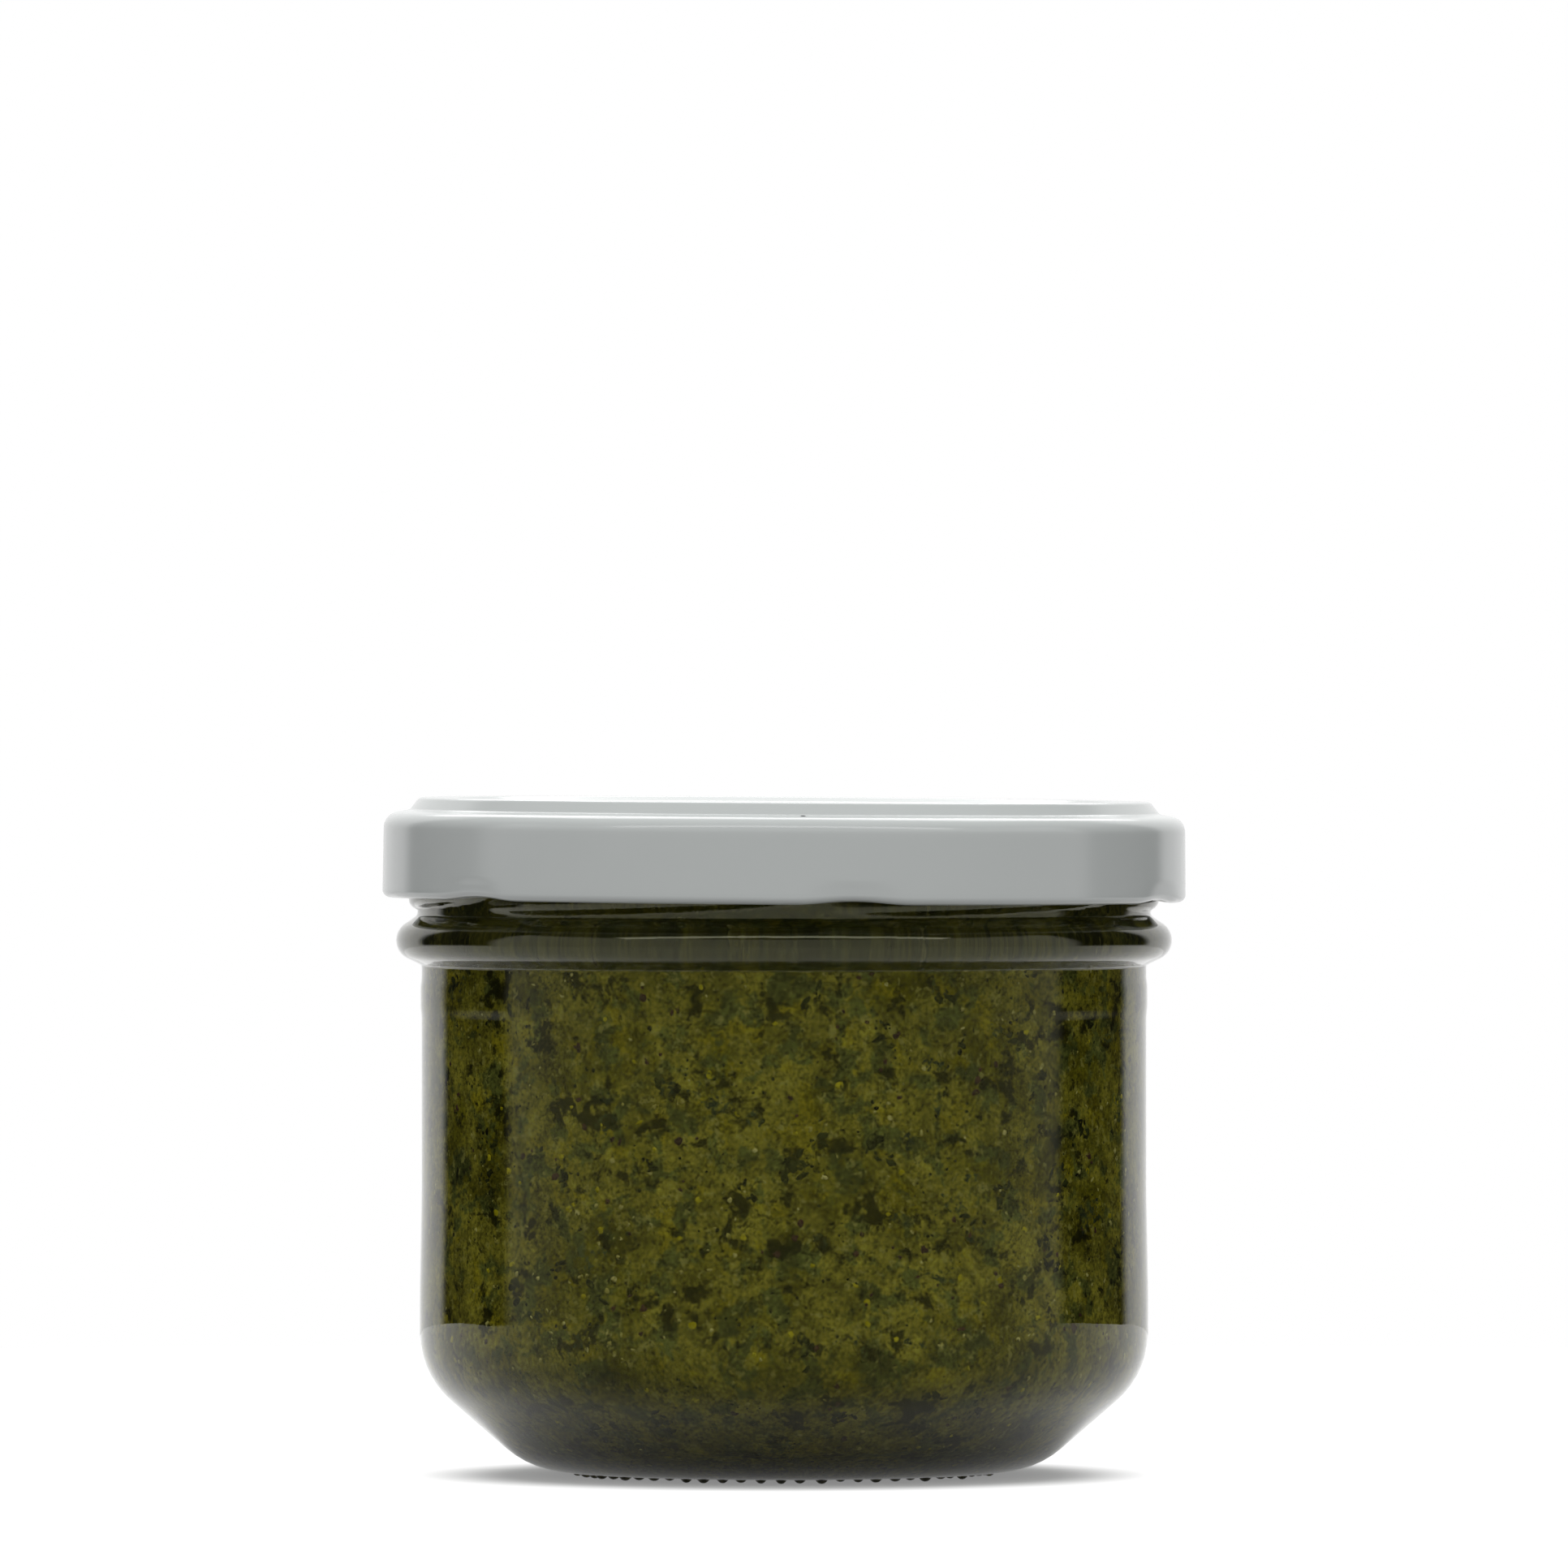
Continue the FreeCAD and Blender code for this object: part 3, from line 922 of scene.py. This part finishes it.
        def rule(radius: float, azimuth: float, height: float) -> tuple[float, float]:
            """Threads on the neck, seams on the bead and studs under the ring.

            Args:
                radius: the point's radius.
                azimuth: its degrees about the axis.
                height: its height.

            Returns:
                The new radius and height.
            """
            if radius > outer_neck and height > self.neck_foot:
                return radius + self.thread_bulge(azimuth, height), height
            if radius > self.neck and height < self.neck_foot:
                for seam in self.seam_azimuths:
                    off = abs(fold(azimuth - seam, 1)) * math.radians(radius)
                    radius += self.seam_proud * max(0.0, 1 - off / self.seam_half)
                return radius, height
            if height < 2 * self.ring and self._by_ring(radius, self.stud_reach):
                return radius, min(height, self._stud_height(studs, radius, azimuth))
            return radius, height

        reshape(shell, rule)
        return shell

    def _by_ring(self, radius: float, reach: tuple[float, float]) -> bool:
        """True on the standing ring and as far in and out from it as the reach."""
        return self.ring_inner - reach[0] < radius < self.ring_outer + reach[1]

    def _divide_ring(self, shell: bmesh.types.BMesh) -> None:
        """Divides the standing ring more finely round, for its studs.

        Args:
            shell: the turned glass.
        """

        def on_ring(vertex: bmesh.types.BMVert) -> bool:
            """True for a point of the standing ring."""
            radius = math.hypot(vertex.co.x, vertex.co.y)
            return vertex.co.z < self.cut_top and self._by_ring(radius, self.cut_reach)

        edges = [
            edge
            for edge in shell.edges
            if on_ring(edge.verts[0])
            and on_ring(edge.verts[1])
            and abs(edge.verts[0].co.xy.length - edge.verts[1].co.xy.length) < 10 * NEAR
        ]
        bmesh.ops.subdivide_edges(shell, edges=edges, cuts=self.ring_cuts, use_grid_fill=True)
        many_sided = [face for face in shell.faces if len(face.verts) > 4]
        bmesh.ops.triangulate(shell, faces=many_sided, ngon_method="BEAUTY")

    def _studs(self) -> list[Stud]:
        """The studs, each a little out of place, with its own size and foot.

        Returns:
            The studs in order round the ring.
        """
        draw = random.Random(self.stud_seed)
        return [
            Stud(
                draw.uniform(-self.stud_along, self.stud_along),
                draw.uniform(-self.stud_out, self.stud_out),
                self.stud_round * draw.uniform(*self.stud_sizes),
                draw.choice(self.stud_feet),
            )
            for _ in range(self.stud_count)
        ]

    def _stud_height(self, studs: Sequence[Stud], radius: float, azimuth: float) -> float:
        """The height of the nearest stud's face at a place, infinite off the studs.

        Args:
            studs: the studs in order round the ring.
            radius: the place's radius.
            azimuth: its degrees about the axis.

        Returns:
            The height.
        """
        step = 360.0 / self.stud_count
        middle = (self.ring_inner + self.ring_outer) / 2
        near = round((azimuth - self.turn) / step)
        along = math.radians(azimuth - self.turn - near * step) * middle
        return studs[near % self.stud_count].height(along, radius - middle)

    def build(self) -> list[bpy.types.Object]:
        """The glass as a piece, with the fire-polished finish from the bead up.

        Returns:
            The pieces.
        """
        glass = make_piece(self.shell(), "jar_glass", self.finish, CadNode.GLASS, Slot.GLASS)
        glass.data.materials.append(self.neck_finish.material())
        for face in glass.data.polygons:
            face.material_index = int(face.center.z > self.bead_foot() * MM)
        return [glass]


# The lid


@dataclass(frozen=True)
class Lid:
    """The pressed lid: panel, shoulder, skirt, curled edge and lugs."""

    finish: LacquerFinish = LacquerFinish()
    columns: int = 240
    top: float = 10.6
    sheet: float = 0.25
    skirt: float = 42.5
    edge: float = 42.6
    shoulder: float = 8.78
    shoulder_round: float = 1.7
    ledge: float = 9.3
    ledge_round: float = 0.5
    riser_foot: float = 39.75
    riser_top: float = 38.75
    riser_round: float = 0.7
    ring_inner: float = 35.0
    panel_edge: float = 34.1
    panel: float = 10.1
    panel_round: float = 0.6
    curl_round: float = 0.8
    curl_turn: float = 280.0
    curl_steps: int = 28
    inner_shift: float = 0.15
    inner_drop: float = 0.2
    inner_ledge_round: float = 0.7
    lug_count: int = 6
    lug_half: float = 8.2
    lug_top: float = 3.2
    lug_margin: float = 0.6
    lug_reach: float = 1.5
    lug_start: float = 0.25
    lug_lift: float = 0.34
    dent: float = 0.22
    dent_top: float = 2.2
    least_arch: float = 0.05
    base: float = 61.058
    turn: float = -20.0
    tilt: float = 0.38

    def outline(self) -> list[Station]:
        """The outline from the top of the panel round the curl and back underneath.

        Returns:
            Its stations.
        """
        outer = [
            Station(0.0, self.panel, 0.0, 6.0),
            Station(self.panel_edge, self.panel, self.panel_round, 6.0),
            Station(self.ring_inner, self.top, self.panel_round),
            Station(self.riser_top, self.top, self.riser_round),
            Station(self.riser_foot, self.ledge, self.ledge_round),
            Station(self.skirt, self.shoulder, self.shoulder_round),
            Station(self.edge, self.curl_round, 0.0, 0.5),
        ]
        turns = [self.curl_turn * step / self.curl_steps for step in range(1, self.curl_steps + 1)]
        outer += [self._on_curl(self.curl_round, turn) for turn in turns]
        inner_curl = self.curl_round - self.sheet
        outer += [self._on_curl(inner_curl, turn) for turn in reversed(turns[::2])]
        shoulder_round = self.shoulder_round - self.sheet
        riser_round = self.riser_round - self.sheet
        riser_foot = self.riser_foot - self.inner_shift
        riser_top = self.riser_top - self.inner_shift
        inner = [
            Station(self.edge - self.sheet, self.curl_round, 0.0),
            Station(self.skirt - self.sheet, self.shoulder - self.inner_drop, shoulder_round, 0.5),
            Station(riser_foot, self.ledge - self.sheet, self.inner_ledge_round),
            Station(riser_top, self.top - self.sheet, riser_round),
            Station(self.ring_inner, self.top - self.sheet, self.panel_round),
            Station(self.panel_edge, self.panel - self.sheet, self.panel_round),
            Station(0.0, self.panel - self.sheet, 0.0, 6.0),
        ]
        return outer + inner

    def _on_curl(self, radius: float, turn: float) -> Station:
        """A point of the curled edge, turn degrees on from the skirt."""
        angle = math.radians(turn)
        return Station(
            self.edge - self.curl_round + radius * math.cos(angle),
            self.curl_round - radius * math.sin(angle),
            0.0,
            1.0,
        )

    def shell(self) -> bmesh.types.BMesh:
        """The lid as a closed shell, standing on its edge at the origin.

        Returns:
            The shell, in millimetres.
        """
        shell = turned(rounded_line(self.outline()), self.columns)
        inside = self.edge - 2 * self.curl_round

        def rule(radius: float, azimuth: float, height: float) -> tuple[float, float]:
            """Presses the lugs in from the edge, which lifts a little there.

            Args:
                radius: the point's radius.
                azimuth: its degrees about the axis.
                height: its height.

            Returns:
                The new radius and height.
            """
            off = abs(fold(azimuth, self.lug_count)) / self.lug_half
            if off >= 1.0 or height > self.lug_top or radius < inside - self.lug_margin:
                return radius, height
            bell = (1 - off * off) ** 2
            arch = self.dent_top * math.sqrt(1 - off * off)
            fade = max(0.0, 1 - height / max(arch, self.least_arch))
            lift = self.lug_lift * bell * max(0.0, 1 - height / self.lug_top)
            depth = (self.edge - radius) / (2 * self.curl_round)
            inwards = max(0.0, depth - self.lug_start) / (1 - self.lug_start)
            reach = self.lug_reach * bell * min(1.0, inwards)
            if height > 2 * self.curl_round:
                reach = 0.0
            return radius - self.dent * bell * math.sqrt(fade) - reach, height + lift

        reshape(shell, rule)
        return shell

    def build(self) -> list[bpy.types.Object]:
        """The lid as a piece, screwed down and leaning a little to the right.

        Returns:
            The pieces.
        """
        place = (
            Matrix.Translation((0.0, 0.0, self.base))
            @ Matrix.Rotation(math.radians(self.tilt), 4, "Y")
            @ Matrix.Rotation(math.radians(self.turn), 4, "Z")
        )
        return [make_piece(self.shell(), "jar_lid", self.finish, CadNode.LID, Slot.LACQUER, place)]


# The pesto


class BitShape(Enum):
    """Width and thickness of bits for each unit of length, and how finely their faces are cut."""

    FLAKE = (0.50, 0.30, 2)
    PATCH = (0.75, 0.14, 3)
    CRUMB = (0.80, 0.55, 2)
    DOT = (0.80, 0.55, 1)


@dataclass(frozen=True)
class BitKind:
    """One kind of bit.

    sizes are the lengths of the shortest and the longest, and proud is how far they stand
    out of the paste. They lie in clusters of the given number, strewn within spread.
    """

    name: str
    shape: BitShape
    finish: BitFinish
    count: int
    sizes: tuple[float, float]
    proud: float
    seed: int
    cluster: int = 1
    spread: float = 0.0


LEAF_BITS = BitFinish("dark_leaf", (0.0030, 0.0034, 0.0012), (0.0190, 0.0215, 0.0050), 0.24)
LEAF_PATCHES = BitFinish("soft_leaf", (0.0110, 0.0150, 0.0070), (0.0380, 0.0470, 0.0130), 0.38)
NUT_CRUMBS = BitFinish("pale_nut", (0.260, 0.245, 0.080), (0.165, 0.152, 0.032), 0.30)
YELLOW_CRUMBS = BitFinish("yellow_cheese", (0.235, 0.210, 0.009), (0.150, 0.132, 0.002), 0.26)
BROWN_BITS = BitFinish("brown_pepper", (0.038, 0.018, 0.010), (0.020, 0.011, 0.008), 0.20)


class Wall:
    """An outline of radius and height, measured along its length."""

    def __init__(self, points: Sequence[Vector]) -> None:
        """Measures the outline.

        Args:
            points: its points in order.
        """
        self.stretches = list(zip(points, points[1:]))
        self.starts = [0.0]
        for first, second in self.stretches:
            self.starts.append(self.starts[-1] + (second - first).length)
        self.weights = [(b - a).length * (a.x + b.x) / 2 for a, b in self.stretches]

    def draw(self, draw: random.Random) -> float:
        """A length along the outline, drawn evenly over the turned surface."""
        number = draw.choices(range(len(self.weights)), self.weights)[0]
        return self.starts[number] + draw.random() * (self.starts[number + 1] - self.starts[number])

    def at(self, length: float) -> tuple[Vector, Vector]:
        """The point at a length, with the outline's direction there.

        Args:
            length: how far along.

        Returns:
            The point and the direction, both of radius and height.
        """
        length = min(max(length, 0.0), self.starts[-1] - 1e-3)
        number = bisect.bisect_right(self.starts, length) - 1
        first, second = self.stretches[number]
        way = (second - first).normalized()
        return first + way * (length - self.starts[number]), way


@dataclass(frozen=True)
class Pesto:
    """The filling: a paste with bits of leaf, nut and cheese pressed to the glass."""

    bore: Bore = Bore()
    finish: PasteFinish = PasteFinish()
    columns: int = 240
    reach: float = 0.1
    level: float = 64.0
    top_rounding: float = 0.8
    top_lump: float = 0.9
    top_lump_scale: float = 0.12
    batch: int = 40
    small_share: float = 1.8
    width_range: tuple[float, float] = (0.6, 1.5)
    thickness_range: tuple[float, float] = (0.8, 1.2)
    most_proud: float = 0.6
    inmost: float = 4.0
    noise_reach: float = 90.0
    # Strength and closeness of the coarse and fine unevenness of a bit.
    coarse: tuple[float, float] = (0.7, 1.3)
    fine: tuple[float, float] = (0.5, 3.1)
    kinds: tuple[BitKind, ...] = (
        BitKind("pesto_leaf_flecks", BitShape.FLAKE, LEAF_BITS, 900, (0.5, 2.0), 0.10, 3, 6, 0.8),
        BitKind("pesto_leaf_dots", BitShape.DOT, LEAF_BITS, 1800, (0.22, 0.55), 0.10, 5, 4, 1.2),
        BitKind("pesto_leaf_patches", BitShape.PATCH, LEAF_PATCHES, 170, (2.0, 4.8), 0.06, 7),
        BitKind("pesto_nut_crumbs", BitShape.CRUMB, NUT_CRUMBS, 1000, (0.3, 1.0), 0.08, 11, 3, 2.2),
        BitKind("pesto_cheese_crumbs", BitShape.CRUMB, YELLOW_CRUMBS, 240, (0.5, 1.5), 0.08, 13),
        BitKind("pesto_pepper_bits", BitShape.CRUMB, BROWN_BITS, 360, (0.4, 1.1), 0.10, 17, 2, 1.0),
    )

    def wall(self) -> list[Station]:
        """The outline of the paste where it lies against the glass."""
        top = Station(self.bore.radius + self.reach, self.level, self.top_rounding, 2.0)
        return self.bore.stations(self.reach) + [top]

    def outline(self) -> list[Vector]:
        """The outline of the paste, from the middle of its floor to the middle of its top."""
        return rounded_line(self.wall() + [Station(0.0, self.level, 0.0, 2.0)])

    def paste(self) -> bmesh.types.BMesh:
        """The paste as a closed shell with an uneven top.

        Returns:
            The shell, in millimetres.
        """
        shell = turned(self.outline(), self.columns)
        for vertex in shell.verts:
            if vertex.co.z > self.level - 0.5:
                lump = noise.fractal(vertex.co * self.top_lump_scale, 1.0, 2.0, 3)
                flat_edge = 1 - (vertex.co.xy.length / self.bore.radius) ** 8
                vertex.co.z += self.top_lump * lump * flat_edge
        return shell

    def places(self, draw: random.Random, kind: BitKind) -> Iterator[tuple[Vector, Vector, Vector]]:
        """Places of one kind of bit, strewn over the paste's side and base.

        Args:
            draw: the source of chance.
            kind: the kind of bit.

        Yields:
            Each bit's point, outward normal and the direction up the outline.
        """
        wall = Wall(rounded_line(self.wall()))
        up = Vector((0.0, 0.0, 1.0))
        for number in range(kind.count):
            if number % kind.cluster == 0:
                middle, middle_azimuth = wall.draw(draw), draw.uniform(0.0, math.tau)
            point, way = wall.at(middle + draw.gauss(0.0, kind.spread))
            azimuth = middle_azimuth + draw.gauss(0.0, kind.spread) / max(point.x, self.inmost)
            out = Vector((math.cos(azimuth), math.sin(azimuth), 0.0))
            yield out * point.x + up * point.y, out * way.y - up * way.x, out * way.x + up * way.y

    def bits(self, kind: BitKind) -> bmesh.types.BMesh:
        """All bits of one kind as one mesh of small closed lumps.

        Args:
            kind: the kind.

        Returns:
            The mesh.
        """
        draw = random.Random(kind.seed)
        lumps, batch = bmesh.new(), bmesh.new()
        shortest, longest = kind.sizes
        wide, thick, facets = kind.shape.value
        for number, (point, normal, along) in enumerate(self.places(draw, kind), start=1):
            length = (shortest + (longest - shortest) * draw.random() ** self.small_share) / 2
            half = length * thick * draw.uniform(*self.thickness_range)
            proud = min(kind.proud, half * self.most_proud)
            ahead = Matrix.Rotation(draw.uniform(0.0, math.tau), 3, normal) @ along
            axes = Matrix((ahead, normal.cross(ahead), normal)).transposed().to_4x4()
            width = length * wide * draw.uniform(*self.width_range)
            stretch = Matrix.Diagonal((length, width, half, 1.0))
            place = Matrix.Translation(point - normal * (half - proud)) @ axes @ stretch
            made = bmesh.ops.create_icosphere(batch, subdivisions=facets, radius=1.0)
            shift = Vector([draw.uniform(0.0, self.noise_reach) for _ in range(3)])
            for vertex in made["verts"]:
                wobble = 1 + self.coarse[0] * noise.noise(vertex.co * self.coarse[1] + shift)
                wobble += self.fine[0] * noise.noise(vertex.co * self.fine[1] - shift)
                x, y, z = vertex.co
                vertex.co = place @ Vector((x * wobble, y * wobble, z))
            if number % self.batch == 0 or number == kind.count:
                self._move_over(batch, lumps)
        batch.free()
        return lumps

    @staticmethod
    def _move_over(batch: bmesh.types.BMesh, lumps: bmesh.types.BMesh) -> None:
        """Adds a small mesh to a large one and empties it, which keeps its operators quick.

        Args:
            batch: the small mesh.
            lumps: the large mesh.
        """
        carrier = bpy.data.meshes.new("carrier")
        batch.to_mesh(carrier)
        lumps.from_mesh(carrier)
        batch.clear()
        bpy.data.meshes.remove(carrier)

    def build(self) -> list[bpy.types.Object]:
        """The paste and each kind of bit as pieces.

        Returns:
            The pieces.
        """
        whole = (CadNode.PESTO, Slot.PESTO)
        pieces = [make_piece(self.paste(), "pesto_paste", self.finish, *whole)]
        for kind in self.kinds:
            pieces.append(make_piece(self.bits(kind), kind.name, kind.finish, *whole))
        return pieces


# The studio


@dataclass(frozen=True)
class Softbox:
    """A soft lamp: its radiance, its size in metres and where it stands.

    height is degrees up, and azimuth degrees round from the camera.
    """

    name: str
    level: float
    size: tuple[float, float]
    distance: float
    height: float
    azimuth: float

    def build(self, aim_height: float) -> None:
        """Adds the lamp, facing a point above the origin.

        Args:
            aim_height: height of that point, in metres.
        """
        width, depth = self.size
        lamp = bpy.data.lights.new(self.name, "AREA")
        lamp.shape = "RECTANGLE"
        lamp.size, lamp.size_y = width, depth
        lamp.energy = self.level * math.pi * width * depth
        softbox = bpy.data.objects.new(self.name, lamp)
        turn = Matrix.Rotation(math.radians(self.azimuth), 4, "Z")
        lean = Matrix.Rotation(math.radians(90.0 - self.height), 4, "X")
        away = Matrix.Translation((0.0, 0.0, self.distance))
        softbox.matrix_world = Matrix.Translation((0.0, 0.0, aim_height)) @ turn @ lean @ away
        bpy.context.scene.collection.objects.link(softbox)


@dataclass(frozen=True)
class Studio:
    """A white sweep, a soft room round the object and the camera."""

    floor_radius: float = 0.36
    floor: SweepFinish = SweepFinish()
    backdrop: Colour = grey(1.0)
    camera_distance: float = 1.904
    camera_height: float = 0.0867
    aim_height: float = 0.0733
    lens: float = 412.0
    sensor: float = 36.0
    # The white sweep ends between these heights of a unit sight line; above it is the dim room.
    sweep_top: tuple[float, float] = (0.54, 0.64)
    dim_room: Colour = grey(0.10)
    # Black cards stand at both sides, between these degrees round from the camera and up from
    # this height of a unit sight line.
    card: Colour = grey(0.02)
    card_front: tuple[float, float] = (94.0, 101.0)
    card_back: tuple[float, float] = (142.0, 134.0)
    card_foot: tuple[float, float] = (-0.16, -0.08)
    ceiling: Colour = grey(1.35)
    ceiling_reach: tuple[float, float] = (0.35, 0.80)
    softboxes: tuple[Softbox, ...] = (
        Softbox("studio_back_box", 2.6, (1.0, 0.95), 1.5, 43.0, 180.0),
        Softbox("studio_top_strip", 3.2, (2.2, 0.26), 1.2, 50.0, 0.0),
    )
    # Degrees round from the camera, with the light that falls on the object from there.
    light: tuple[tuple[float, float], ...] = (
        (0.0, 0.34),
        (50.0, 0.33),
        (95.0, 0.24),
        (130.0, 0.34),
        (180.0, 0.46),
    )

    def build_air(self) -> None:
        """The white background, and the room whose light falls on the object."""
        world = bpy.data.worlds.new("studio_air")
        bpy.context.scene.world = world
        world.use_nodes = True
        graph = Graph(world.node_tree)
        way = graph.add("ShaderNodeTexCoord").outputs["Generated"]
        parts = graph.add("ShaderNodeSeparateXYZ", {}, {0: way})
        x, y, z = (Signal(graph, socket) for socket in parts.outputs)
        level = graph.math("SQRT", x * x + y * y + TINY)
        half_turns = graph.math("ARCCOSINE", -y / level) / math.pi
        stops = [(degrees / HALF_TURN, grey(light)) for degrees, light in self.light]
        walls = graph.add("ShaderNodeValToRGB", {"stops": stops}, {"Fac": half_turns}).outputs[0]
        room = graph.mix(z.rise(*self.ceiling_reach), walls, self.ceiling)
        sweep = graph.mix(z.rise(*self.sweep_top), self.backdrop, self.dim_room)
        degrees = half_turns * HALF_TURN
        cards = degrees.rise(*self.card_front) * degrees.rise(*self.card_back)
        sweep = graph.mix(cards * z.rise(*self.card_foot), sweep, self.card)
        colour = graph.mix(graph.background_rays(), room, sweep)
        back = graph.add("ShaderNodeBackground", {}, {"Color": colour, "Strength": 1.0})
        graph.add("ShaderNodeOutputWorld", {}, {"Surface": back.outputs[0]})

    def build_floor(self) -> None:
        """The round white floor, which keeps the object's shadow and adds a painted shadow under
        it.
        """
        disc = bmesh.new()
        bmesh.ops.create_circle(disc, cap_ends=True, segments=128, radius=self.floor_radius)
        mesh = bpy.data.meshes.new("studio_floor")
        disc.to_mesh(mesh)
        disc.free()
        mesh.materials.append(self.floor.material())
        floor = bpy.data.objects.new("studio_floor", mesh)
        bpy.context.scene.collection.objects.link(floor)

    def build_camera(self) -> None:
        """The camera, level with the lid and a long way off."""
        data = bpy.data.cameras.new("studio_camera")
        data.lens = self.lens
        data.sensor_width = self.sensor
        data.clip_end = 20.0
        camera = bpy.data.objects.new("studio_camera", data)
        camera.location = (0.0, -self.camera_distance, self.camera_height)
        drop = math.atan2(self.camera_height - self.aim_height, self.camera_distance)
        camera.rotation_euler = (math.pi / 2 - drop, 0.0, 0.0)
        bpy.context.scene.collection.objects.link(camera)
        bpy.context.scene.camera = camera
        bpy.context.scene.view_settings.view_transform = "Standard"

    def build(self) -> None:
        """The room, the floor, the lamps and the camera."""
        self.build_air()
        self.build_floor()
        for softbox in self.softboxes:
            softbox.build(self.aim_height)
        self.build_camera()


def main() -> None:
    """Builds the studio and the jar, and reports each piece."""
    logging.basicConfig(level=logging.INFO, format="%(name)s %(message)s")
    Studio().build()
    for part in (GlassJar(), Lid(), Pesto()):
        for piece in part.build():
            triangles = sum(len(face.vertices) - 2 for face in piece.data.polygons)
            LOG.info("%s: %d triangles", piece.name, triangles)


if __name__ == "__main__":
    main()
